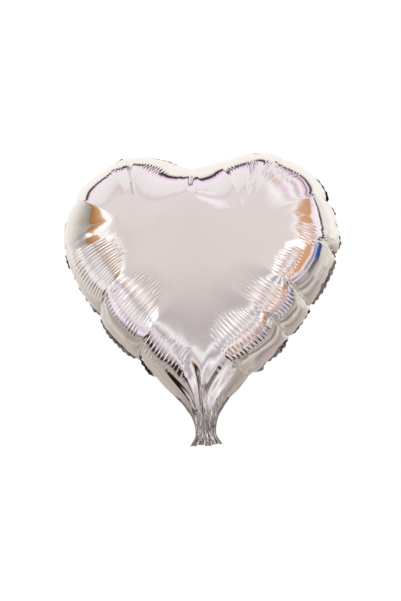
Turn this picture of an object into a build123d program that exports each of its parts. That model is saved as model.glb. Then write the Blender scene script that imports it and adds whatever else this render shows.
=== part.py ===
from build123d import *
import os

# Heart-shaped foil balloon, inflated and tight, upright: +X right, +Z up, front towards -Y. Millimetres.
# The origin is the middle of the gathered waist of the neck, where a ribbon, stick or cup holds the balloon.
# Two sheets of metallised film, cut to one heart with a tail, are welded face to face round their edge.
# The welded margin lies in the plane Y = 0, and each sheet bulges away from it.
# Two clear valve films, welded into the mouth of the tail, hang up into the balloon and press shut on each other.

# Driving dimensions
HALF_WIDTH = 197.0  # overall, over the welded margin
LOBE_TOP = 384.0  # height of both lobes above the waist, over the margin
NOTCH = 361.0  # height of the dip between the lobes, over the margin
NECK_DROP = 28.0  # from the waist down to the mouth
HALF_DEPTH = 106.0  # from the seam plane to the crown of one face
MARGIN = 6.0  # width of the welded margin round the heart
NECK_MARGIN = 3.0  # width of the welded margin along the neck
WALL = 0.6  # thickness that stands for each sheet's 0.03 mm
WELD = 0.3  # thickness of one sheet in the welded margin

CROWN = 240.0  # height of the middle of each face
CAP_SHARE = 0.99  # share of the half depth at which the crown is cut flat
DEPTH_SHARES = (0, 0.15, 0.35, 0.55, 0.72, 0.86, 0.95, CAP_SHARE)
TIP = 10.0  # lowest point of the dome itself, hidden inside the neck's flare
TIP_LEAN = 0.92  # how much of the way down to the tip the dome reaches just off the seam plane

# Right half of the heart's margin, from the notch round to the neck's flare: shares of the half width and of the height
HEART = (
    (0.21, 0.975),
    (0.41, 1.0),
    (0.68, 0.964),
    (0.89, 0.860),
    (1.0, 0.700),
    (0.925, 0.525),
    (0.69, 0.352),
    (0.39, 0.192),
)

# The neck and its flare into the heart: height, half width over the margin, half depth, share of the width that is flat
NECK = (
    (-NECK_DROP, 19.5, 5.0, 0.68),
    (-16, 17.5, 5.0, 0.68),
    (0, 16.5, 6.5, 0.6),
    (14, 23.0, 10.0, 0.4),
    (32, 37.0, 19.0, 0.2),
    (60, 46.0, 27.0, 0.1),
)

VALVE_WIDTH = 20.0
VALVE_FILM = 0.3
VALVE_FOOT = -22.0  # lower end of the valve films, inside the mouth
VALVE_BOND = -14.0  # upper end of their weld to the foil
VALVE_SHUT = 14.0  # height from which the two films lie on each other
VALVE_TOP = 105.0
VALVE_MOUTH_DEPTH = 4.2  # from the seam plane to the film's outer face at its weld

os.makedirs("parts", exist_ok=True)


def heart_points(inset):
    """Right half of the heart, from the notch to the last point above the neck, moved in by inset towards the crown."""
    outline = [(0, NOTCH)]
    outline += [(share_x * HALF_WIDTH, share_z * LOBE_TOP) for share_x, share_z in HEART]
    moved = []
    for x, z in outline:
        reach = (x * x + (z - CROWN) ** 2) ** 0.5
        keep = 1 - inset / reach
        moved.append((x * keep, CROWN + (z - CROWN) * keep))
    return moved


def level_points(depth_share, inset):
    """The dome's right half at one depth: the sides close in as a foil balloon's do, and the tip climbs faster."""
    side_scale = (1 - depth_share**2) ** (1 / 3)
    tip_scale = TIP_LEAN * (1 - depth_share**2) ** 0.65 if depth_share else 1
    points = []
    for x, z in heart_points(MARGIN + inset) + [(0, TIP + inset)]:
        drop = max(0, CROWN - z) / (CROWN - TIP)
        scale = side_scale + (tip_scale - side_scale) * min(1, drop) ** 2
        points.append((x * side_scale, CROWN + (z - CROWN) * scale))
    return points


def mirrored_left(points):
    return [(-x, z) for x, z in reversed(points)]


def dome(side, inset):
    """The space one sheet bulges round, as a solid from the seam plane to the crown."""
    with BuildPart() as solid:
        for depth_share in DEPTH_SHARES:
            points = level_points(depth_share, inset)
            with BuildSketch(Plane.XZ.offset(side * depth_share * (HALF_DEPTH - inset))):
                with BuildLine():
                    Spline(*points)
                    Spline(*mirrored_left(points))
                make_face()
        loft()
    return solid.part


def neck(side, inset):
    """One side of the flattened tube of the neck with its flare, as a solid; an inner one runs out past the mouth."""
    with BuildPart() as solid:
        for height, half_width, half_depth, flat_share in NECK:
            if inset and height == -NECK_DROP:
                height -= 1
            half = half_width - NECK_MARGIN - inset
            depth = half_depth - inset
            flat = flat_share * half
            with BuildSketch(Plane.XY.offset(height)):
                with BuildLine():
                    Line((half, 0), (-half, 0))
                    EllipticalCenterArc((-flat, 0), half - flat, depth, start_angle=180, arc_size=90)
                    Line((-flat, -depth), (flat, -depth))
                    EllipticalCenterArc((flat, 0), half - flat, depth, start_angle=270, arc_size=90)
                make_face()
        loft()
    return solid.part if side > 0 else solid.part.mirror(Plane.XZ)


def margin_outline():
    """Right half of the whole sheet's edge: the heart, the flare and the neck down to the mouth."""
    flare = [(half_width, height) for height, half_width, _, _ in reversed(NECK[:-1])]
    return heart_points(0) + flare


for side, name in ((1, "front_panel"), (-1, "back_panel")):
    with BuildPart() as panel:
        add(dome(side, 0))
        add(neck(side, 0))
        with BuildSketch(Plane.XZ):
            edge = margin_outline()
            with BuildLine():
                Spline(*edge)
                Line(edge[-1], mirrored_left(edge)[0])
                Spline(*mirrored_left(edge))
            make_face()
        extrude(amount=side * WELD)
        add(dome(side, WALL), mode=Mode.SUBTRACT)
        add(neck(side, WALL), mode=Mode.SUBTRACT)
    panel.part.label = name
    export_step(panel.part, f"parts/{name}.step")

for side, name in ((1, "valve_film_front"), (-1, "valve_film_back")):
    with BuildPart() as film:
        with BuildSketch(Plane.YZ.offset(-VALVE_WIDTH / 2)):
            outer = VALVE_MOUTH_DEPTH
            inner = VALVE_MOUTH_DEPTH - VALVE_FILM
            Polygon(
                (-side * outer, VALVE_FOOT),
                (-side * outer, VALVE_BOND),
                (-side * VALVE_FILM, VALVE_SHUT),
                (-side * VALVE_FILM, VALVE_TOP),
                (0, VALVE_TOP),
                (0, VALVE_SHUT),
                (-side * inner, VALVE_BOND),
                (-side * inner, VALVE_FOOT),
                align=None,
            )
        extrude(amount=VALVE_WIDTH)
    film.part.label = name
    export_step(film.part, f"parts/{name}.step")
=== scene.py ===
import math

import bpy
import numpy as np
from mathutils import Matrix, Vector
from mathutils.geometry import delaunay_2d_cdt


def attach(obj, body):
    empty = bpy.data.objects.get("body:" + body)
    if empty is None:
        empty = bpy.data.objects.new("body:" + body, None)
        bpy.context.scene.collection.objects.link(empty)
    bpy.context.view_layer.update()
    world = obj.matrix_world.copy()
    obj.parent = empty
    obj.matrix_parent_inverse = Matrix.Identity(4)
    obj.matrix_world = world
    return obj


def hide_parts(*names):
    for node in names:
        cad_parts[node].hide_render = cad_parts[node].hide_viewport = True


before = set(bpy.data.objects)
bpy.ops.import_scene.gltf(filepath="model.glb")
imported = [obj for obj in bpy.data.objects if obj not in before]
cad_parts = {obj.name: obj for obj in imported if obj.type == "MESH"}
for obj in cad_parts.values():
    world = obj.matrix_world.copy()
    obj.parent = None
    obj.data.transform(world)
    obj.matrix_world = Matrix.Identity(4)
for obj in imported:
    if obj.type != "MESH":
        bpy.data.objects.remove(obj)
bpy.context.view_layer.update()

# Heart-shaped foil balloon. Its shape comes from blowing up its flat pattern: two sheets of film that bend
# but hardly stretch, joined along one weld line. The simulated heart is then made a little fuller and its
# lobes uneven, and the film's fine shape is added by formula. Everything up to the meshes is in millimetres,
# in the part's frame.

MM = 0.001
SIM_SCALE = 0.01  # the simulation's unit is 100 mm

# ---------------------------------------------------------------- flat pattern

# Right half of the flat heart's weld line, from the mouth's corner up to the notch
HALF_PATTERN = (
    (22, -34), (21, -14), (22, 2), (29, 13), (45, 25), (67, 38), (96, 57), (126, 80), (154, 109),
    (180, 142), (202, 177), (218, 212), (229, 247), (234, 282), (229, 318), (216, 353), (196, 384),
    (171, 409), (144, 428), (116, 441), (87, 447), (56, 446), (27, 441), (0, 437),
)
COLUMN_STEP = 4.2  # along the weld line
ROWS = (0, 3, 7, 12, 18, 26, 35, 46, 59, 74, 91, 109, 129, 152)  # inwards from the weld line
MARGIN_ROWS = (-2.8, -5.6)  # outwards, in the welded margin
MARGIN_AT_NECK = 0.35  # the margin's width there, as a share of its full width
FACE_STEP = 10.0  # between points of the open face
# Lattices of the open face: spacing, and the nearest and the furthest from the innermost row
LATTICES = ((5.5, 3.6, 10.0), (FACE_STEP, 14.0, 1e9))

# Creases that stop at the weld: a point near each on the flat sheet, how far the weld is drawn in there, how
# deep the valley between its two pillows is, how far in it reaches, and how high the ridge inside it stands
CREASES = (
    (0, 437, 0.0, 0.2, 30, 0.9), (44, 444, 0.6, 0.8, 36, 2.0), (-106, 444, 1.2, 1.0, 30, 4.0),
    (-148, 427, 1.2, 1.0, 30, 3.0), (-214, 358, 1.5, 1.6, 60, 0.8), (-233, 282, 0.0, 0.0, 80, 0.0),
    (-188, 154, 1.3, 2.6, 90, 0.0), (-117, 73, 1.2, 2.4, 80, 0.0), (-22, 2, 0.0, 0.0, 20, 0.0),
    (22, 2, 0.0, 0.0, 20, 0.0), (72, 41, 1.2, 2.2, 80, 0.0), (142, 96, 1.2, 2.5, 80, 0.0),
    (184, 148, 1.2, 2.4, 80, 0.0), (226, 236, 1.2, 2.4, 80, 0.0), (226, 330, 1.0, 1.2, 40, 1.5),
    (160, 418, 1.2, 1.0, 30, 4.0), (120, 439, 1.2, 1.0, 30, 4.5),
)
PINCH_WIDTH = 7.0  # along the weld, of a drawn-in crease
PINCH_REACH = 45.0  # inwards from the weld, until nothing is drawn in

# ---------------------------------------------------------------- inflated shape

FRAMES = 32  # of simulation
NECK_HELD = 20.0  # flat height up to which the gathered neck is held still
NECK_FREE = 40.0  # flat height above which the film is free
MOUTH_FLAT, MOUTH_LOW = 34.0, 28.0  # how far below the waist the mouth lies, flat and gathered
# The gathered neck's half width and half depth, by flat height
NECK_HALF_WIDTHS = (
    (-34, 17), (-20, 13.2), (-2, 13.6), (14, 18), (24, 25), (34, 34), (44, 44), (60, 58), (80, 76),
)
NECK_HALF_DEPTHS = (
    (-34, 7), (-20, 4.5), (-2, 6), (14, 11), (24, 17), (34, 24), (44, 31), (60, 41), (80, 52),
)
# How much higher than simulated the top stands, at each x
LOBE_LIFT = (
    (-260, 5), (-160, 4), (-110, 4), (-78, 0), (-40, 0), (0, 7), (22, -1), (50, -9), (80, -7),
    (105, -2), (140, 3), (260, 4),
)
# How much wider each side stands than the simulation gives, as a share, at heights above the waist
LEFT_FULLER = (
    (25, 0), (52, 0.06), (66, 0.14), (90, 0.04), (140, 0.03), (180, 0), (250, 0), (295, 0),
    (330, 0.02), (360, -0.02),
)
RIGHT_FULLER = (
    (25, 0), (54, 0.19), (66, 0.28), (84, 0.15), (114, 0.15), (144, 0.13), (174, 0.08),
    (230, 0.08), (264, 0.04), (294, 0.04), (324, 0.045), (356, 0.03),
)
EASED_TO = 95.0  # flat height up to which the simulated crumpling above the neck is smoothed
EASING_ROUNDS = 24


def smooth_curve(points, per_span=30):
    """A Catmull-Rom curve through points."""
    points = np.array(points, float)
    padded = np.vstack([2 * points[0] - points[1], points, 2 * points[-1] - points[-2]])
    curve = []
    for a, b, c, d in zip(padded, padded[1:], padded[2:], padded[3:]):
        for t in np.linspace(0, 1, per_span, endpoint=False):
            bend = (2 * a - 5 * b + 4 * c - d) * t**2 + (-a + 3 * b - 3 * c + d) * t**3
            curve.append(0.5 * (2 * b + (c - a) * t + bend))
    return np.vstack([curve, points[-1:]])


def through(stations, values):
    """A smooth curve's height at each value, through stations of (value, height)."""
    curve = smooth_curve(stations)
    return np.interp(values, curve[:, 0], curve[:, 1])


def evenly(line, step):
    """The line again, with points every step or so, and the distance between them."""
    along = np.concatenate([[0], np.cumsum(np.linalg.norm(np.diff(line, axis=0), axis=1))])
    count = int(round(along[-1] / step))
    places = np.linspace(0, along[-1], count + 1)
    return np.stack([np.interp(places, along, line[:, k]) for k in range(2)], axis=1), along[-1] / count


def step_up(value, start, width):
    """0 below start, 1 from start + width, smooth between."""
    t = np.clip((value - start) / width, 0, 1)
    return t * t * (3 - 2 * t)


def in_space(points, y):
    """Flat points stood upright, at y."""
    return np.stack([points[:, 0], np.broadcast_to(y, len(points)), points[:, 1]], axis=1)


def inside(points, loop):
    """Which points are inside the closed loop."""
    x, z = points[:, 0], points[:, 1]
    result = np.zeros(len(points), bool)
    for (x0, z0), (x1, z1) in zip(loop, np.roll(loop, -1, axis=0)):
        crosses = (z0 > z) != (z1 > z)
        result ^= crosses & (x < (x1 - x0) * (z - z0) / (z1 - z0 + 1e-12) + x0)
    return result


def distance(points, line):
    """How far each point is from the nearest point of line."""
    return np.min(np.linalg.norm(points[:, None] - line[None], axis=2), axis=1)


def polygon_depth(points, corners):
    """How far each point is inside the polygon of corners; negative outside."""
    best = np.full(len(points), 1e9)
    for a, b in zip(corners, np.roll(corners, -1, axis=0)):
        edge = b - a
        t = np.clip((points - a) @ edge / (edge @ edge), 0, 1)
        best = np.minimum(best, np.linalg.norm(points - a - t[:, None] * edge, axis=1))
    return np.where(inside(points, corners), best, -best)


def smoothed(values, width):
    """Averages each value along the first axis with width neighbours on each side."""
    kernel = np.hanning(2 * width + 3)[1:-1]
    kernel /= kernel.sum()
    padded = np.concatenate([np.repeat(values[:1], width, 0), values, np.repeat(values[-1:], width, 0)])
    columns = padded.reshape(len(padded), -1).T
    out = np.array([np.convolve(c, kernel, "valid") for c in columns]).T
    return out.reshape(values.shape)


def room(weld, normals):
    """How far each weld point can move inwards before it is as near to another part of the weld."""
    reach = np.full(len(weld), 1e9)
    for i, (point, normal) in enumerate(zip(weld, normals)):
        to = weld - point
        ahead = to @ normal
        seen = ahead > 1.0
        reach[i] = np.min((to[seen] ** 2).sum(1) / (2 * ahead[seen]))
    return reach


def loose_points(loop):
    """Points of the open face inside loop, closer together near it."""
    loose = []
    for spacing, nearest, furthest in LATTICES:
        xs = np.arange(-230, 231, spacing)
        zs = np.arange(-40, 490, spacing * math.sqrt(3) / 2)
        lattice = np.array([(x + (spacing / 2 if k % 2 else 0), z) for k, z in enumerate(zs) for x in xs])
        lattice = lattice[inside(lattice, loop)]
        off = distance(lattice, loop)
        loose.append(lattice[(off > nearest) & (off < furthest)])
    return np.vstack(loose)


def flat_sheet():
    """The flat pattern's points: columns inwards from the weld, and loose points over the open face."""
    right = smooth_curve(HALF_PATTERN)
    left = right[::-1] * (-1, 1)
    weld, step = evenly(np.vstack([right, left[1:]]), COLUMN_STEP)
    tangents = np.gradient(weld, axis=0)
    tangents /= np.linalg.norm(tangents, axis=1)[:, None]
    normals = np.stack([-tangents[:, 1], tangents[:, 0]], axis=1)
    # Columns end before they meet those from the other side
    reach = np.minimum(ROWS[-1], 0.8 * room(weld, normals))
    reach = np.minimum(smoothed(reach, 6), reach * 1.1)
    normals = smoothed(normals, 8)
    normals[0], normals[-1] = (-1, 0), (1, 0)
    normals /= np.linalg.norm(normals, axis=1)[:, None]
    share = np.array(ROWS) / ROWS[-1]
    band = weld[:, None] + normals[:, None] * (reach[:, None] * share)[:, :, None]
    margin_share = np.clip((weld[:, 1] - 10) / 60, 0, 1) * (1 - MARGIN_AT_NECK) + MARGIN_AT_NECK
    margin = weld[:, None] + normals[:, None] * (margin_share[:, None] * MARGIN_ROWS)[:, :, None]
    inner = band[:, -1]
    mouth_gap = inner[0, 0] - inner[-1, 0]
    mouth_count = max(2, int(round(mouth_gap / COLUMN_STEP)))
    mouth = inner[-1] + (inner[0] - inner[-1]) * (np.arange(1, mouth_count) / mouth_count)[:, None]
    loop = np.vstack([inner, mouth])
    return {"weld": weld, "normals": normals, "step": step, "band": band, "margin": margin, "loop": loop,
            "loose": loose_points(loop)}


def sheet_faces(sheet):
    """Points and faces of one flat sheet: quads down the columns, triangles over the open face."""
    columns, rows = len(sheet["weld"]), len(ROWS)
    mouth = sheet["loop"][columns:]
    band = [sheet["band"][:, j] for j in range(1, rows)]
    flat = np.vstack([sheet["weld"], *band, mouth, sheet["loose"]])
    first_inner = (rows - 1) * columns
    faces = []
    for j in range(rows - 1):
        for i in range(columns - 1):
            a = j * columns + i
            faces.append((a, a + 1, a + columns + 1, a + columns))
    fill = [Vector(point) for point in flat[first_inner:]]
    ring = columns + len(mouth)
    edges = [(k, (k + 1) % ring) for k in range(ring)]
    _, _, triangles, origins, _, _ = delaunay_2d_cdt(fill, edges, [], 1, 1e-5)
    source = [origin[0] for origin in origins]
    for triangle in triangles:
        faces.append(tuple(first_inner + source[k] for k in triangle))
    fixed = []
    for face in faces:
        x, z = flat[list(face)].T
        # Anticlockwise in X and Z is a normal towards -Y
        anticlockwise = np.sum(x * np.roll(z, -1) - z * np.roll(x, -1)) > 0
        fixed.append(tuple(face) if anticlockwise else tuple(reversed(face)))
    return flat, fixed


sheet = flat_sheet()
flat, faces = sheet_faces(sheet)
columns = len(sheet["weld"])
# Distance along the flat weld from the notch, positive on the right
middle = (columns - 1) / 2
along_weld = (middle - np.arange(columns)) * sheet["step"]


def back_points():
    """For each flat point, its number in the inflated shape's back sheet, which shares the weld's points."""
    return np.concatenate([np.arange(columns), len(flat) + np.arange(len(flat) - columns)])


def crease_columns():
    """The column of each crease."""
    return [int(np.argmin(np.linalg.norm(sheet["weld"] - crease[:2], axis=1))) for crease in CREASES]


def drawn_in(margin_flat):
    """The flat sheet and its margin, with the weld drawn in at each crease."""
    rest_flat, rest_margin = flat.copy(), margin_flat.copy()
    nearest = np.argmin(np.linalg.norm(flat[:, None] - sheet["weld"][None], axis=2), axis=1)
    fading = np.clip(1 - distance(flat, sheet["weld"]) / PINCH_REACH, 0, 1)
    margin_columns = np.tile(np.arange(columns), len(MARGIN_ROWS))
    for column, crease in zip(crease_columns(), CREASES):
        pinch = crease[2]
        apart = (nearest - column) * sheet["step"]
        push = pinch * np.exp(-((apart / PINCH_WIDTH) ** 2)) * fading
        rest_flat += push[:, None] * sheet["normals"][column]
        apart = (margin_columns - column) * sheet["step"]
        push = pinch * np.exp(-((apart / PINCH_WIDTH) ** 2))
        rest_margin += push[:, None] * sheet["normals"][column]
    return rest_flat, rest_margin


def starting_depth():
    """How far from the seam's plane each flat point starts, so that the sheets start apart."""
    corners = sheet["weld"][sorted(crease_columns())]
    deep = polygon_depth(flat, corners)
    off = distance(flat, sheet["weld"])
    return 0.3 * np.minimum(off, 8) + 0.3 * np.clip(deep - 2, 0, 60)


def neck_shape(x, z):
    """Where a point of the flat neck lies once gathered: across, the middle of both sheets, and their gap."""
    pattern = smooth_curve(HALF_PATTERN)
    pattern = pattern[pattern[:, 1] < NECK_FREE + 20]
    place = x / np.interp(z, pattern[:, 1], pattern[:, 0])
    across = np.clip(place, -1, 1)
    half_width = through(NECK_HALF_WIDTHS, z)
    half_depth = through(NECK_HALF_DEPTHS, z)
    folds = np.sin(x * 0.62 + 0.9 + 0.05 * z) + 0.5 * np.sin(x * 1.15 - 1.1 - 0.04 * z)
    middle = 1.7 * folds * (1 - across**6) * np.clip((30 - z) / 30, 0, 1)
    return place * half_width, middle, 2 * half_depth * (1 - across**2) ** 0.7


def add_film_cloth(body, cut):
    """Thin film under gas pressure, which keeps the lengths that it has in the shape key cut."""
    cloth = body.modifiers.new("cloth", "CLOTH")
    settings = cloth.settings
    settings.rest_shape_key = cut
    settings.quality = 6
    settings.mass = 0.1
    settings.air_damping = 2
    settings.tension_stiffness = 120
    settings.compression_stiffness = 60
    settings.shear_stiffness = 5
    settings.bending_stiffness = 0.1
    settings.bending_damping = 0.5
    settings.use_pressure = True
    settings.uniform_pressure_force = 15
    settings.vertex_group_pressure = "pressed"
    settings.vertex_group_mass = "held"
    settings.effector_weights.gravity = 0
    cloth.collision_settings.use_collision = False
    cloth.point_cache.frame_start = 1
    cloth.point_cache.frame_end = FRAMES


def shell_faces(margin_first):
    """Faces of both sheets and of the margin, which is one layer in the simulation."""
    back_of = back_points()
    members = list(faces) + [tuple(int(back_of[k]) for k in reversed(face)) for face in faces]
    outer_rings = [margin_first + j * columns + np.arange(columns) for j in range(len(MARGIN_ROWS))]
    rings = [np.arange(columns)] + outer_rings
    for ring, outer in zip(rings, rings[1:]):
        for i in range(columns - 1):
            members.append((int(ring[i]), int(outer[i]), int(outer[i + 1]), int(ring[i + 1])))
    return members


def inflate():
    """Blows both sheets up from flat in a cloth simulation, and returns every point, in millimetres."""
    points = len(flat)
    loose_back = np.arange(columns, points)
    margin_first = points + len(loose_back)
    margin_flat = np.vstack([sheet["margin"][:, j] for j in range(len(MARGIN_ROWS))])
    rest_flat, rest_margin = drawn_in(margin_flat)
    rest = np.vstack([in_space(rest_flat, 0), in_space(rest_flat[loose_back], 0), in_space(rest_margin, 0)])
    start = starting_depth()
    wave = 0.6 * np.sin(2 * math.pi * np.tile(along_weld, len(MARGIN_ROWS)) / 23.0)
    wave *= np.repeat((0.5, 1.0), columns)
    begin = np.vstack([in_space(rest_flat, -start), in_space(rest_flat[loose_back], start[loose_back]),
                       in_space(rest_margin, wave)])
    # The neck starts gathered, and is held so
    side = np.concatenate([np.full(points, -0.5), np.full(len(loose_back), 0.5), np.zeros(len(rest_margin))])
    pinned_points = np.flatnonzero(rest[:, 2] < NECK_FREE)
    hold = np.clip((NECK_FREE - rest[:, 2]) / (NECK_FREE - NECK_HELD), 0, 1)
    x, z = rest[pinned_points, 0], rest[pinned_points, 2]
    across, middle, gap = neck_shape(x, z)
    lower = np.where(z < 0, z * MOUTH_LOW / MOUTH_FLAT, z)
    begin[pinned_points] = np.stack([across, middle + gap * side[pinned_points], lower], axis=1)
    mesh = bpy.data.meshes.new("inflating")
    mesh.from_pydata((begin * SIM_SCALE).tolist(), [], shell_faces(margin_first))
    body = bpy.data.objects.new("inflating", mesh)
    bpy.context.scene.collection.objects.link(body)
    body.shape_key_add(name="start")
    cut = body.shape_key_add(name="cut")
    cut.data.foreach_set("co", (rest * SIM_SCALE).ravel())
    cut.value = 0
    pressed = body.vertex_groups.new(name="pressed")
    for i, z in enumerate(rest[:margin_first, 2]):
        pressed.add([i], float(np.clip((z - NECK_HELD) / 20, 0, 1)), "REPLACE")
    held = body.vertex_groups.new(name="held")
    for i in pinned_points:
        held.add([int(i)], float(hold[i]), "REPLACE")
    add_film_cloth(body, cut)
    scene = bpy.context.scene
    for number in range(1, FRAMES + 1):
        scene.frame_set(number)
    solved = body.evaluated_get(bpy.context.evaluated_depsgraph_get())
    places = np.zeros(len(rest) * 3)
    solved.data.vertices.foreach_get("co", places)
    scene.frame_set(1)
    bpy.data.objects.remove(body)
    bpy.data.meshes.remove(mesh)
    return places.reshape(-1, 3) / SIM_SCALE


def leaned(places):
    """The same shape, fuller at the sides, most of all on the right, and with uneven lobes."""
    x, z = places[:, 0], places[:, 2]
    fuller = 1 + np.where(x > 0, through(RIGHT_FULLER, z), through(LEFT_FULLER, z))
    lift = step_up(z, 150, 200) * through(LOBE_LIFT, x)
    return np.stack([x * fuller, places[:, 1], z + lift], axis=1)


def eased(places):
    """The same shape, with the crumpling between the held neck and the free heart smoothed out."""
    points = len(flat)
    ends = np.array([(face[k], face[k - 1]) for face in faces for k in range(len(face))])
    count = np.bincount(ends.ravel(), minlength=points)[:, None]
    z = flat[:, 1]
    give = 0.6 * np.clip((z + 5) / 15, 0, 1) * np.clip((EASED_TO - z) / 30, 0, 1)
    give[:columns] = 0
    for mapping in (np.arange(points), back_points()):
        local = places[mapping]
        for _ in range(EASING_ROUNDS):
            total = np.zeros_like(local)
            np.add.at(total, ends[:, 0], local[ends[:, 1]])
            np.add.at(total, ends[:, 1], local[ends[:, 0]])
            local += give[:, None] * (total / count - local)
        places[mapping[columns:]] = local[columns:]
    return places


shape = eased(leaned(inflate()))

# ---------------------------------------------------------------- the film as it is seen

SUBDIVISIONS = 2
LAYER_GAP = 0.12  # from the seam's plane to each layer of the welded margin
RUFFLE = 9.5  # length of one ruffle of the welded margin
RUFFLE_OUT, RUFFLE_ASIDE = 0.7, 1.5  # its height in the weld's plane, and across that plane

# Bands of fine ribs left by the weld: along the weld from and to, inset from and to, height of a rib
RIB_LENGTH = 6.2
RIB_SEED = 11
RIB_BANDS = (
    (-690, 690, 2, 17, 0.13),
    (-92, -18, 46, 84, 0.26), (-205, -120, 46, 80, 0.22), (-462, -362, 42, 138, 0.46),
    (-560, -468, 88, 150, 0.50), (-560, -470, 60, 92, 0.22), (-676, -575, 46, 105, 0.48),
    (48, 118, 48, 84, 0.26), (140, 225, 44, 104, 0.40), (345, 398, 68, 98, 0.42),
    (400, 474, 82, 114, 0.46), (478, 543, 60, 130, 0.55), (547, 636, 56, 130, 0.55),
    (642, 686, 50, 104, 0.42),
)
# Long soft folds that run into the neck: points on the flat sheet, width and height
NECK_FOLDS = (
    (((-11, 118), (-9, 88), (-8, 58), (-8, 34), (-10, 6), (-12, -46)), 6.5, -2.6),
    (((14, 128), (8, 100), (3, 72), (-1, 46), (0, 20)), 8.0, 2.0),
    (((44, 112), (32, 88), (20, 64), (11, 42), (10, 20)), 8.0, -1.7),
    (((-28, 112), (-21, 84), (-16, 60), (-14, 40), (-15, 10)), 7.0, 1.6),
    (((-50, 90), (-36, 66), (-24, 44), (-18, 20), (-16, 0)), 7.0, -1.4),
    (((3, 34), (4, 16), (5, 0), (8, -44)), 5.0, 1.6),
    (((64, 88), (46, 64), (30, 42), (19, 20), (17, -10)), 7.5, 1.6),
)
# Crumpling of the neck: shortest and longest wave, furthest lean from upright in radians, height
CRUMPLE_WAVES = ((10, 20, 0.3, 0.6), (10, 22, 0.8, 0.45), (6, 10, 0.6, 0.15), (4, 6, 1.1, 0.06))
CRUMPLE_SEED = 5


def ribs(along, inset):
    """Height of the fine ribs at each point, by its place on the flat sheet."""
    number = np.floor(along / RIB_LENGTH + 200).astype(int)
    chance = np.random.default_rng(RIB_SEED).random(500)[np.clip(number, 0, 499)]
    height = np.zeros(len(along))
    for start, end, near, far, size in RIB_BANDS:
        middle, half = (start + end) / 2, (end - start) / 2
        across = np.clip(np.abs(along - middle) / half, 0, 1)
        last = far - (far - near) * 0.35 * across**2 - 9 * chance
        window = step_up(along, start, 9) * (1 - step_up(along, end - 9, 9))
        window = window * step_up(inset, near - 4, 8) * (1 - step_up(inset, last - 6, 6))
        height = np.maximum(height, size * window)
    wander = 0.5 * np.sin(along / 37 + 1) + 0.4 * np.sin(inset / 15 + along / 61)
    crest = np.abs(np.sin(math.pi * along / RIB_LENGTH + wander / 2)) ** 0.8
    return height * (0.75 + 0.5 * chance) * (2 * crest - 1.2)


def folds(flat_points):
    """Height of the long folds above the neck."""
    height = np.zeros(len(flat_points))
    for line, width, size in NECK_FOLDS:
        curve = smooth_curve(line, 12)
        apart = np.linalg.norm(flat_points[:, None] - curve[None], axis=2)
        nearest = np.argmin(apart, axis=1)
        share = nearest / (len(curve) - 1)
        swell = np.sin(math.pi * np.clip(share, 0, 1)) ** 0.7
        spread = width * (1 - 0.55 * share)
        height += size * swell * np.exp(-((apart[np.arange(len(nearest)), nearest] / spread) ** 2))
    return height


def pillows(along, inset):
    """How far each point is drawn in towards the valleys of the rim, less the ridges further in."""
    ends = sorted((along_weld[column], *crease[3:]) for column, crease in zip(crease_columns(), CREASES))
    inward = np.zeros(len(along))
    for (start, *sizes_a), (end, *sizes_b) in zip(ends, ends[1:]):
        t = (along - start) / (end - start)
        within = (t >= 0) & (t < 1)
        inset_in = np.maximum(inset[within], 0)
        rim = 0.2 + 0.8 * step_up(inset_in, 0, 18)
        for share, (depth, reach, ridge) in ((1 - 2 * t[within], sizes_a), (2 * t[within] - 1, sizes_b)):
            fade = 1 - step_up(inset_in, 0.25 * reach, reach)
            near = np.clip(share, 0, 1)
            length = (end - start) * (1 - near) / 2
            # A crease without a ridge ends in a narrow groove
            groove = np.exp(-length / 1.5) * (near > 0) * (ridge == 0)
            inward[within] += rim * fade * (depth * near**2.6 + 1.3 * min(depth / 2.4, 1) * groove)
            inward[within] -= ridge * near**2 * step_up(inset_in, 18, 50) * (1 - step_up(inset_in, 74, 80))
    return inward


def crumple(flat_points, seed):
    """Crumpling of the gathered neck, mostly upright ridges, about -1 to 1."""
    draw = np.random.default_rng(seed)
    x, z = flat_points[:, 0], flat_points[:, 1]
    total = np.zeros(len(x))
    for shortest, longest, tilt, size in CRUMPLE_WAVES:
        for _ in range(4):
            lean = draw.uniform(-tilt, tilt)
            length = draw.uniform(shortest, longest)
            phase = draw.uniform(0, 6.3)
            wave = np.sin(2 * math.pi * (x * math.cos(lean) + z * math.sin(lean)) / length + phase)
            total += size * (1 - 2 * np.abs(wave))
    return total / 1.4


def subdivided(places, members, levels):
    """Catmull-Clark subdivision of a mesh; returns its points, normals and faces."""
    mesh = bpy.data.meshes.new("subdividing")
    mesh.from_pydata(places.tolist(), [], members)
    holder = bpy.data.objects.new("subdividing", mesh)
    bpy.context.scene.collection.objects.link(holder)
    smooth = holder.modifiers.new("smooth", "SUBSURF")
    smooth.levels = levels
    smooth.render_levels = levels
    fine = holder.evaluated_get(bpy.context.evaluated_depsgraph_get()).to_mesh()
    points = np.zeros(len(fine.vertices) * 3)
    fine.vertices.foreach_get("co", points)
    normals = np.zeros(len(fine.vertices) * 3)
    fine.vertex_normals.foreach_get("vector", normals)
    corners = np.zeros(len(fine.loops), int)
    fine.loops.foreach_get("vertex_index", corners)
    bpy.data.objects.remove(holder)
    bpy.data.meshes.remove(mesh)
    return points.reshape(-1, 3), normals.reshape(-1, 3), corners.reshape(-1, 4)


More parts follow.
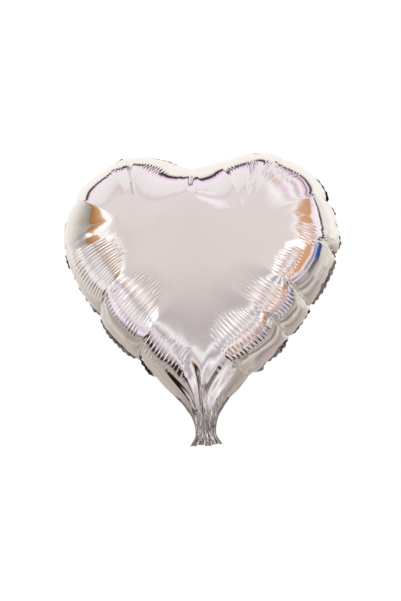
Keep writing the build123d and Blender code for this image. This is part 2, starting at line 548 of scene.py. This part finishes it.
def place_on_weld(points, chunk=20000):
    """How far along the flat weld and how far from it each flat point is."""
    weld, tangents = sheet["weld"], np.gradient(sheet["weld"], axis=0)
    tangents /= np.linalg.norm(tangents, axis=1)[:, None]
    along, inset = np.zeros(len(points)), np.zeros(len(points))
    for start in range(0, len(points), chunk):
        part = points[start:start + chunk]
        apart = np.linalg.norm(part[:, None] - weld[None], axis=2)
        nearest = np.argmin(apart, axis=1)
        inset[start:start + chunk] = apart[np.arange(len(part)), nearest]
        ahead = ((part - weld[nearest]) * tangents[nearest]).sum(1)
        along[start:start + chunk] = along_weld[nearest] - ahead
    return along, inset


def outward(along, normals, inset):
    """The way a pillow swells: in the weld's plane at the weld, along the surface's normal further in."""
    weld = shape[:columns]
    tangents = smoothed(np.gradient(weld, axis=0), 4)
    out = np.stack([tangents[:, 2], np.zeros(columns), -tangents[:, 0]], axis=1)
    out /= np.linalg.norm(out, axis=1)[:, None]
    at_weld = np.stack([np.interp(-along, -along_weld, out[:, k]) for k in range(3)], axis=1)
    share = step_up(inset, 0, 9)[:, None]
    way = at_weld * (1 - share) + normals * share
    return way / np.linalg.norm(way, axis=1)[:, None]


def flared(points, flat_points):
    """The mouth, opened wider and with a wavy lip in two lobes."""
    lip = step_up(-flat_points[:, 1], 14, 20)
    x = points[:, 0] * (1 + 0.2 * lip)
    lobes = 2.2 * np.cos(2 * math.pi * (x + 9) / 24) + 0.8 * np.sin(x * 0.9)
    return np.stack([x, points[:, 1], points[:, 2] + lip * (lobes * 0.5 + 0.6)], axis=1)


def open_face(side):
    """One sheet inside the weld: points, faces, places on the flat sheet, insets, and painted shade for the
    valleys of the neck's crumple.
    """
    if side < 0:
        places = shape[:len(flat)]
        members = [tuple(face) for face in faces]
    else:
        places = shape[back_points()]
        members = [tuple(reversed(face)) for face in faces]
    fine, normals, quads = subdivided(places, members, SUBDIVISIONS)
    fine_flat = subdivided(in_space(flat, 0), members, SUBDIVISIONS)[0][:, [0, 2]]
    along, inset = place_on_weld(fine_flat)
    in_neck = 1 - step_up(fine_flat[:, 1], -10, 60)
    wrinkles = crumple(fine_flat, CRUMPLE_SEED)
    # The ribs leave out the middle of the funnel above the neck
    off_middle = step_up(np.abs(fine_flat[:, 0] - 4), 14, 16)
    ribbed = 1 - (1 - off_middle) * (1 - step_up(fine_flat[:, 1], 100, 30))
    height = ribs(along, inset) * ribbed * (1 - in_neck) + folds(fine_flat) * step_up(inset, 0, 6)
    height += 0.55 * (in_neck + in_neck**2) * step_up(inset, 0.5, 4) * wrinkles
    fine = fine + normals * height[:, None]
    fine = fine - outward(along, normals, inset) * pillows(along, inset)[:, None]
    # Painted shade: how much the base colour darkens in the deepest valleys of the neck's crumple
    shade = np.clip(-0.1 - 1.2 * wrinkles, 0, 0.9) * in_neck
    return fine, quads, fine_flat, inset, shade


def welded_margin(side):
    """One sheet's layer of the margin: points, faces, places on the flat sheet, and insets, below 0 here."""
    rows = len(MARGIN_ROWS)
    first = 2 * len(flat) - columns
    margin = np.vstack([shape[:columns], shape[first:first + rows * columns]])
    strips = []
    for j in range(rows):
        for i in range(columns - 1):
            a = j * columns + i
            quad = (a, a + columns, a + columns + 1, a + 1)
            strips.append(quad if side < 0 else tuple(reversed(quad)))
    edge, normals, quads = subdivided(margin, strips, SUBDIVISIONS)
    margin_flat = np.vstack([sheet["weld"]] + [sheet["margin"][:, j] for j in range(rows)])
    edge_flat = subdivided(in_space(margin_flat, 0), strips, SUBDIVISIONS)[0][:, [0, 2]]
    along, off = place_on_weld(edge_flat)
    inset = -off
    edge = edge + normals * (LAYER_GAP * step_up(off, 0, 1))[:, None]
    way_out = outward(along, normals, inset)
    edge = edge - way_out * pillows(along, inset)[:, None]
    free = step_up(off, 0.3, 4) * step_up(650 - np.abs(along), 0, 60)
    ruffle = np.sin(2 * math.pi * along / RUFFLE + 1.6 * np.sin(along / 29)) * free
    edge = edge + way_out * (RUFFLE_OUT * ruffle)[:, None]
    edge[:, 1] += RUFFLE_ASIDE * ruffle * (0.6 + 0.4 * np.sin(along / 17))
    return edge, quads, edge_flat, inset


def new_piece(name, places, members):
    """A smooth-shaded piece in the scene, from points in metres and faces."""
    mesh = bpy.data.meshes.new(name)
    mesh.from_pydata(places.tolist(), [], members)
    mesh.polygons.foreach_set("use_smooth", [True] * len(mesh.polygons))
    piece = bpy.data.objects.new(name, mesh)
    bpy.context.scene.collection.objects.link(piece)
    return piece


def panel(name, side):
    """One sheet of the balloon: side is -1 for the front and 1 for the back."""
    fine, quads, fine_flat, inset, shade = open_face(side)
    edge, edge_quads, edge_flat, edge_inset = welded_margin(side)
    every = np.vstack([flared(fine, fine_flat), flared(edge, edge_flat)]) * MM
    piece = new_piece(name, every, quads.tolist() + (edge_quads + len(fine)).tolist())
    # The first attribute holds painted shade in the valleys of the neck's crumple
    marks = (("painted_fold_shade", (shade, np.zeros(len(edge)))), ("inset", (inset, edge_inset)))
    for mark, values in marks:
        attribute = piece.data.attributes.new(mark, "FLOAT", "POINT")
        attribute.data.foreach_set("value", np.concatenate(values))
    return piece


# ---------------------------------------------------------------- materials

def new_material(name):
    """A new material, its nodes, its links and its surface node."""
    material = bpy.data.materials.new(name)
    material.use_nodes = True
    nodes = material.node_tree.nodes
    return material, nodes, material.node_tree.links, nodes["Principled BSDF"]


def new_node(nodes, kind, values):
    """A new node with these values on its inputs."""
    node = nodes.new(kind)
    for name, value in values.items():
        node.inputs[name].default_value = value
    return node


def new_noise(nodes, scale, detail):
    return new_node(nodes, "ShaderNodeTexNoise", {"Scale": scale, "Detail": detail})


def silver_film():
    """Vacuum-metallised film: a mirror with faint coating haze, painted shade in the valleys of the crumpled
    neck, and a duller crimped margin.
    """
    material, nodes, links, surface = new_material("silver_film")
    surface.inputs["Metallic"].default_value = 1.0
    coordinates = nodes.new("ShaderNodeTexCoord")
    haze = new_noise(nodes, 38.0, 5.0)
    links.new(coordinates.outputs["Object"], haze.inputs["Vector"])
    gloss_range = {"From Min": 0.35, "From Max": 0.7, "To Min": 0.045, "To Max": 0.10}
    gloss = new_node(nodes, "ShaderNodeMapRange", gloss_range)
    links.new(haze.outputs["Fac"], gloss.inputs["Value"])
    inset = nodes.new("ShaderNodeAttribute")
    inset.attribute_name = "inset"
    weld_range = {"From Min": -0.6, "From Max": 0.6, "To Min": 1.0, "To Max": 0.0}
    weld = new_node(nodes, "ShaderNodeMapRange", weld_range)
    links.new(inset.outputs["Fac"], weld.inputs["Value"])
    # Painted shade darkens the valleys of the crumpled neck, and the welded margin is darker and duller
    painted_fold_shade = nodes.new("ShaderNodeAttribute")
    painted_fold_shade.attribute_name = "painted_fold_shade"
    fold_shade_mix = nodes.new("ShaderNodeMix")
    fold_shade_mix.data_type = "RGBA"
    fold_shade_mix.inputs["A"].default_value = (0.93, 0.925, 0.92, 1)
    # Dark colour of the painted shade in the neck's fold valleys
    fold_shade_mix.inputs["B"].default_value = (0.22, 0.20, 0.195, 1)
    links.new(painted_fold_shade.outputs["Fac"], fold_shade_mix.inputs["Factor"])
    colour = nodes.new("ShaderNodeMix")
    colour.data_type = "RGBA"
    colour.inputs["B"].default_value = (0.30, 0.28, 0.27, 1)
    links.new(fold_shade_mix.outputs["Result"], colour.inputs["A"])
    links.new(weld.outputs["Result"], colour.inputs["Factor"])
    links.new(colour.outputs["Result"], surface.inputs["Base Color"])
    dull = nodes.new("ShaderNodeMix")
    dull.inputs["B"].default_value = 0.28
    links.new(weld.outputs["Result"], dull.inputs["Factor"])
    links.new(gloss.outputs["Result"], dull.inputs["A"])
    links.new(dull.outputs["Result"], surface.inputs["Roughness"])
    grain = new_noise(nodes, 420.0, 3.0)
    links.new(coordinates.outputs["Object"], grain.inputs["Vector"])
    bump = new_node(nodes, "ShaderNodeBump", {"Strength": 0.12, "Distance": 0.0002})
    links.new(grain.outputs["Fac"], bump.inputs["Height"])
    links.new(bump.outputs["Normal"], surface.inputs["Normal"])
    return material


def clear_film():
    """Thin clear film, slightly cloudy."""
    material, nodes, links, surface = new_material("clear_film")
    surface.inputs["Base Color"].default_value = (0.92, 0.93, 0.94, 1)
    surface.inputs["Alpha"].default_value = 0.35
    coordinates = nodes.new("ShaderNodeTexCoord")
    cloud = new_noise(nodes, 260.0, 4.0)
    links.new(coordinates.outputs["Object"], cloud.inputs["Vector"])
    milky = new_node(nodes, "ShaderNodeMapRange", {"To Min": 0.14, "To Max": 0.32})
    links.new(cloud.outputs["Fac"], milky.inputs["Value"])
    links.new(milky.outputs["Result"], surface.inputs["Roughness"])
    return material


front = panel("foil_front", -1)
back = panel("foil_back", 1)
film = silver_film()
for piece, node in ((front, "front_panel"), (back, "back_panel")):
    piece.data.materials.append(film)
    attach(piece, "root")
    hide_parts(node)

# ---------------------------------------------------------------- valve films

FILM_WIDTH = 20.0
FILM_FOOT, FILM_TOP = -22.0, 105.0
FILM_DEPTHS = ((-22, 2.6), (-14, 2.6), (0, 1.4), (14, 0.3), (105, 0.3))  # from the seam's plane, by height


def valve_films():
    """Two clear films that hang up from the mouth into the balloon and lie against each other."""
    material = clear_film()
    across = np.linspace(-FILM_WIDTH / 2, FILM_WIDTH / 2, 21)
    up = np.linspace(FILM_FOOT, FILM_TOP, 128)
    for side, name in ((-1, "film_front"), (1, "film_back")):
        x, z = np.meshgrid(across, up)
        y = side * through(FILM_DEPTHS, z) + 0.12 * np.sin(x / 2.1 + z / 9) * np.clip((z - 14) / 20, 0, 1)
        places = np.stack([x, y, z], axis=2).reshape(-1, 3) * MM
        corners = np.arange(len(places)).reshape(x.shape)
        quads = np.stack([corners[:-1, :-1], corners[:-1, 1:], corners[1:, 1:], corners[1:, :-1]], axis=2)
        piece = new_piece(name, places, quads.reshape(-1, 4).tolist())
        piece.data.materials.append(material)
        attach(piece, "root")
        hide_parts("valve_" + name)


# ---------------------------------------------------------------- studio

DISPLAY_GAMMA = 2.2
FILM_KEEPS = 0.92  # of the light that it reflects


def shown(red, green, blue):
    """The light that the film shows as this display colour."""
    return tuple((value / 255) ** DISPLAY_GAMMA / FILM_KEEPS for value in (red, green, blue))


WHITE_LIGHT = (1.5, 1.48, 1.46)
CREAM = shown(245, 240, 233)
DARK = shown(38, 33, 30)
# What the film reflects, by direction anticlockwise from the right, in degrees, around the Y axis; half the
# sector's width; and colours by Y, from -1, back past the viewer, through 0, sideways, to 1, beyond the
# balloon. The first entry fills what the others leave.
SECTORS = (
    (90, 180, (
        (-1, shown(220, 209, 207)), (-0.7, shown(221, 210, 208)), (-0.52, shown(223, 213, 212)),
        (-0.42, shown(214, 203, 203)), (-0.34, shown(229, 221, 222)), (0.1, shown(238, 231, 233)),
        (0.17, shown(236, 222, 232)), (0.19, shown(222, 182, 216)), (0.22, shown(205, 160, 200)),
        (0.25, DARK), (0.315, DARK), (0.34, shown(196, 188, 178)), (0.41, shown(243, 238, 231)), (1, CREAM),
    )),
    (52, 13, (
        (-0.7, shown(220, 209, 208)), (-0.58, shown(246, 241, 242)), (-0.44, shown(222, 198, 210)),
        (-0.30, shown(248, 243, 245)), (-0.16, shown(206, 180, 190)), (-0.05, shown(246, 238, 243)),
        (0.08, shown(224, 184, 212)), (0.13, shown(96, 78, 74)), (0.17, shown(240, 232, 236)),
        (0.23, shown(200, 160, 190)), (0.25, DARK), (0.30, DARK), (0.33, shown(210, 203, 195)),
        (0.45, CREAM), (1, CREAM),
    )),
    (161, 20, (
        (-0.70, shown(214, 203, 200)), (-0.62, shown(255, 252, 249)), (-0.54, shown(255, 252, 249)),
        (-0.51, shown(206, 164, 122)), (-0.36, shown(176, 128, 86)), (-0.26, shown(160, 112, 72)),
        (-0.22, shown(150, 143, 134)), (0.0, shown(178, 173, 165)), (0.2, shown(206, 200, 192)),
        (0.4, shown(228, 222, 213)), (1, CREAM),
    )),
    (14, 16, (
        (-0.66, shown(221, 210, 207)), (-0.56, shown(245, 238, 236)), (-0.48, shown(214, 168, 138)),
        (-0.18, shown(200, 146, 112)), (-0.15, shown(240, 225, 231)), (0.05, shown(248, 240, 243)),
        (0.08, shown(60, 55, 52)), (0.12, shown(90, 80, 75)), (0.15, shown(225, 220, 212)),
        (0.5, CREAM), (1, CREAM),
    )),
    (193, 11, (
        (-0.78, shown(210, 200, 200)), (-0.70, WHITE_LIGHT), (-0.52, WHITE_LIGHT),
        (-0.46, shown(206, 196, 204)), (-0.40, WHITE_LIGHT), (-0.16, shown(252, 249, 252)),
        (-0.08, shown(200, 190, 200)), (0.0, WHITE_LIGHT), (0.24, shown(246, 243, 240)),
        (0.32, shown(190, 181, 172)), (0.5, shown(230, 224, 215)), (1, shown(218, 211, 202)),
    )),
    (210, 14, (
        (-0.78, shown(206, 196, 198)), (-0.68, shown(250, 246, 248)), (-0.56, shown(196, 186, 192)),
        (-0.40, shown(214, 204, 211)), (-0.28, shown(246, 240, 245)), (-0.14, shown(232, 219, 230)),
        (0.0, shown(246, 238, 245)), (0.1, shown(226, 202, 222)), (0.14, shown(130, 112, 106)),
        (0.2, shown(182, 172, 165)), (0.34, shown(160, 150, 143)), (0.5, shown(202, 193, 185)),
        (1, shown(198, 189, 181)),
    )),
    (231, 12, (
        (-0.78, shown(200, 190, 192)), (-0.68, shown(246, 241, 243)), (-0.52, shown(186, 175, 181)),
        (-0.36, shown(240, 232, 235)), (-0.24, shown(196, 160, 140)), (-0.16, shown(150, 108, 76)),
        (-0.08, DARK), (0.2, shown(30, 25, 22)), (0.26, shown(146, 135, 127)),
        (0.38, shown(190, 180, 172)), (0.6, shown(158, 148, 140)), (1, shown(174, 165, 157)),
    )),
    (346, 12, (
        (-0.78, shown(206, 196, 196)), (-0.68, WHITE_LIGHT), (-0.56, shown(188, 177, 181)),
        (-0.46, WHITE_LIGHT), (-0.34, shown(206, 156, 120)), (-0.20, shown(204, 150, 114)),
        (-0.16, shown(250, 245, 247)), (-0.06, shown(120, 100, 120)), (-0.03, shown(236, 229, 236)),
        (0.06, shown(58, 52, 50)), (0.12, shown(150, 140, 136)), (0.18, shown(206, 200, 192)),
        (0.36, shown(226, 220, 211)), (0.6, shown(200, 193, 184)), (1, shown(204, 197, 188)),
    )),
    (354, 6, (
        (-0.78, shown(206, 196, 196)), (-0.68, WHITE_LIGHT), (-0.46, WHITE_LIGHT),
        (-0.34, shown(206, 156, 120)), (-0.20, shown(204, 150, 114)), (-0.16, shown(250, 245, 247)),
        (-0.06, shown(110, 84, 104)), (-0.03, shown(236, 229, 236)), (0.0, shown(58, 92, 168)),
        (0.12, shown(44, 74, 150)), (0.15, shown(70, 64, 62)), (0.18, shown(206, 200, 192)),
        (0.5, shown(222, 216, 207)), (1, shown(208, 201, 192)),
    )),
    (320, 18, (
        (-0.78, shown(198, 188, 190)), (-0.70, shown(252, 248, 250)), (-0.60, shown(156, 146, 150)),
        (-0.50, shown(246, 241, 243)), (-0.42, shown(150, 140, 144)), (-0.34, WHITE_LIGHT),
        (-0.26, shown(190, 150, 126)), (-0.14, shown(186, 142, 116)), (-0.08, shown(246, 240, 242)),
        (0.0, shown(186, 176, 178)), (0.08, shown(222, 214, 213)), (0.16, shown(150, 139, 134)),
        (0.24, shown(200, 191, 184)), (0.32, shown(126, 115, 108)), (0.42, shown(206, 197, 190)),
        (0.6, shown(164, 154, 147)), (1, shown(178, 169, 161)),
    )),
    (270, 30, (
        (-0.74, shown(194, 184, 185)), (-0.64, shown(246, 240, 242)), (-0.46, shown(168, 158, 163)),
        (-0.28, shown(246, 240, 243)), (-0.1, shown(198, 188, 192)), (0.0, shown(236, 230, 233)),
        (0.06, shown(140, 100, 72)), (0.13, DARK), (0.24, shown(36, 30, 27)), (0.3, shown(170, 160, 150)),
        (0.5, shown(196, 187, 179)), (1, shown(178, 169, 161)),
    )),
)
SECTOR_SOFT = 12  # degrees over which a sector fades
# What the open face reflects, straight back past the viewer, by Z
FACE = (
    (-0.62, shown(178, 168, 168)), (-0.25, shown(200, 190, 188)), (0.1, shown(217, 206, 202)),
    (0.5, shown(221, 210, 207)),
)
# What lies beyond the balloon, by Z
BEYOND = (
    (-0.7, shown(166, 154, 146)), (-0.15, shown(190, 179, 171)), (0.25, shown(240, 234, 228)), (0.6, CREAM),
)
# Darker and lighter patches of the room, by a noise's value
CLUTTER = ((0.3, (0.66, 0.64, 0.63)), (0.48, (0.94, 0.93, 0.93)), (0.7, (1.12, 1.12, 1.12)))


def ramp(tree, value, stops):
    """Colours by value, from -1 to 1."""
    node = tree.nodes.new("ShaderNodeValToRGB")
    elements = node.color_ramp.elements
    while len(elements) > 1:
        elements.remove(elements[-1])
    for k, (place, colour) in enumerate(stops):
        stop = elements[0] if k == 0 else elements.new((place + 1) / 2)
        stop.position = (place + 1) / 2
        stop.color = (*colour, 1)
    shifted = new_node(tree.nodes, "ShaderNodeMapRange", {"From Min": -1, "From Max": 1})
    tree.links.new(value, shifted.inputs["Value"])
    tree.links.new(shifted.outputs["Result"], node.inputs["Fac"])
    return node.outputs["Color"]


def mixed(tree, factor, a, b, blend="MIX"):
    """Colour a at factor 0, and at 1 colour b or its blend with a."""
    node = tree.nodes.new("ShaderNodeMix")
    node.data_type = "RGBA"
    node.blend_type = blend
    tree.links.new(factor, node.inputs["Factor"])
    tree.links.new(a, node.inputs["A"])
    tree.links.new(b, node.inputs["B"])
    return node.outputs["Result"]


def faded(tree, value, low, high):
    """0 up to low and 1 from high, smooth between."""
    node = new_node(tree.nodes, "ShaderNodeMapRange", {"From Min": low, "From Max": high})
    node.interpolation_type = "SMOOTHSTEP"
    tree.links.new(value, node.inputs["Value"])
    return node.outputs["Result"]


def around(tree, split):
    """The reflected room by SECTORS, from a direction's split parts."""
    nodes, links = tree.nodes, tree.links
    sideways = nodes.new("ShaderNodeCombineXYZ")
    links.new(split.outputs["X"], sideways.inputs["X"])
    links.new(split.outputs["Z"], sideways.inputs["Z"])
    unit = nodes.new("ShaderNodeVectorMath")
    unit.operation = "NORMALIZE"
    links.new(sideways.outputs["Vector"], unit.inputs[0])
    depth = split.outputs["Y"]
    (_, _, stops), *others = SECTORS
    room = ramp(tree, depth, stops)
    for angle, half_width, stops in others:
        toward = nodes.new("ShaderNodeVectorMath")
        toward.operation = "DOT_PRODUCT"
        links.new(unit.outputs["Vector"], toward.inputs[0])
        toward.inputs[1].default_value = (math.cos(math.radians(angle)), 0, math.sin(math.radians(angle)))
        near = math.cos(math.radians(half_width - SECTOR_SOFT / 2))
        far = math.cos(math.radians(half_width + SECTOR_SOFT / 2))
        room = mixed(tree, faded(tree, toward.outputs["Value"], far, near), room, ramp(tree, depth, stops))
    return room


def cluttered(tree, coordinates, split, room):
    """The room, patchy below and to the sides, and even above and straight back."""
    clutter = new_noise(tree.nodes, 5.0, 6.0)
    tree.links.new(coordinates.outputs["Generated"], clutter.inputs["Vector"])
    uneven = ramp(tree, clutter.outputs["Fac"], CLUTTER)
    below = tree.nodes.new("ShaderNodeMath")
    below.operation = "SUBTRACT"
    below.use_clamp = True
    tree.links.new(faded(tree, split.outputs["Y"], -0.85, -0.4), below.inputs[0])
    tree.links.new(faded(tree, split.outputs["Z"], 0.0, 0.45), below.inputs[1])
    return mixed(tree, below.outputs["Value"], room, uneven, "MULTIPLY")


def studio():
    """Plain white to the eye; in reflections a pale room with its lights, its wood and its dark edges."""
    world = bpy.data.worlds.new("studio")
    bpy.context.scene.world = world
    world.use_nodes = True
    tree = world.node_tree
    nodes, links = tree.nodes, tree.links
    nodes.clear()
    coordinates = nodes.new("ShaderNodeTexCoord")
    split = nodes.new("ShaderNodeSeparateXYZ")
    links.new(coordinates.outputs["Generated"], split.inputs["Vector"])
    depth, height = split.outputs["Y"], split.outputs["Z"]
    room = cluttered(tree, coordinates, split, around(tree, split))
    room = mixed(tree, faded(tree, depth, -0.9, -0.74), ramp(tree, height, FACE), room)
    room = mixed(tree, faded(tree, depth, 0.5, 0.88), room, ramp(tree, height, BEYOND))
    reflected = nodes.new("ShaderNodeBackground")
    links.new(room, reflected.inputs["Color"])
    plain = new_node(nodes, "ShaderNodeBackground", {"Color": (1, 1, 1, 1)})
    seen = nodes.new("ShaderNodeLightPath")
    both = nodes.new("ShaderNodeMixShader")
    links.new(seen.outputs["Is Camera Ray"], both.inputs["Fac"])
    links.new(reflected.outputs["Background"], both.inputs[1])
    links.new(plain.outputs["Background"], both.inputs[2])
    output = nodes.new("ShaderNodeOutputWorld")
    links.new(both.outputs["Shader"], output.inputs["Surface"])


def floor():
    """A plain white floor well below the hanging balloon, kept out of its reflections."""
    half, height = 6.0, -0.5
    mesh = bpy.data.meshes.new("floor")
    corners = [(-half, -half, height), (half, -half, height), (half, half, height), (-half, half, height)]
    mesh.from_pydata(corners, [], [(0, 1, 2, 3)])
    ground = bpy.data.objects.new("floor", mesh)
    bpy.context.scene.collection.objects.link(ground)
    material, _, _, surface = new_material("white_floor")
    surface.inputs["Base Color"].default_value = (0.9, 0.9, 0.9, 1)
    surface.inputs["Roughness"].default_value = 0.9
    surface.inputs["Emission Color"].default_value = (1, 1, 1, 1)
    surface.inputs["Emission Strength"].default_value = 0.9
    mesh.materials.append(material)
    ground.visible_glossy = False


def camera():
    """From a little below the mouth and to the right, looking slightly up, and rolled as if held by hand."""
    distance, aim = 1.4, Vector((0.0011, 0, 0.173))
    azimuth, elevation, roll = math.radians(5.0), math.radians(-10.0), math.radians(2.69)
    data = bpy.data.cameras.new("camera")
    data.sensor_width = 36.0
    data.lens = 59.9
    eye = bpy.data.objects.new("camera", data)
    bpy.context.scene.collection.objects.link(eye)
    flat_way = Vector((math.sin(azimuth), -math.cos(azimuth), 0))
    eye.location = aim + distance * (flat_way * math.cos(elevation) + Vector((0, 0, math.sin(elevation))))
    turn = (aim - eye.location).to_track_quat("-Z", "Y")
    eye.rotation_euler = (turn.to_matrix() @ Matrix.Rotation(-roll, 3, "Z")).to_euler()
    bpy.context.scene.camera = eye


studio()
floor()
camera()
bpy.context.scene.view_settings.view_transform = "Standard"
valve_films()
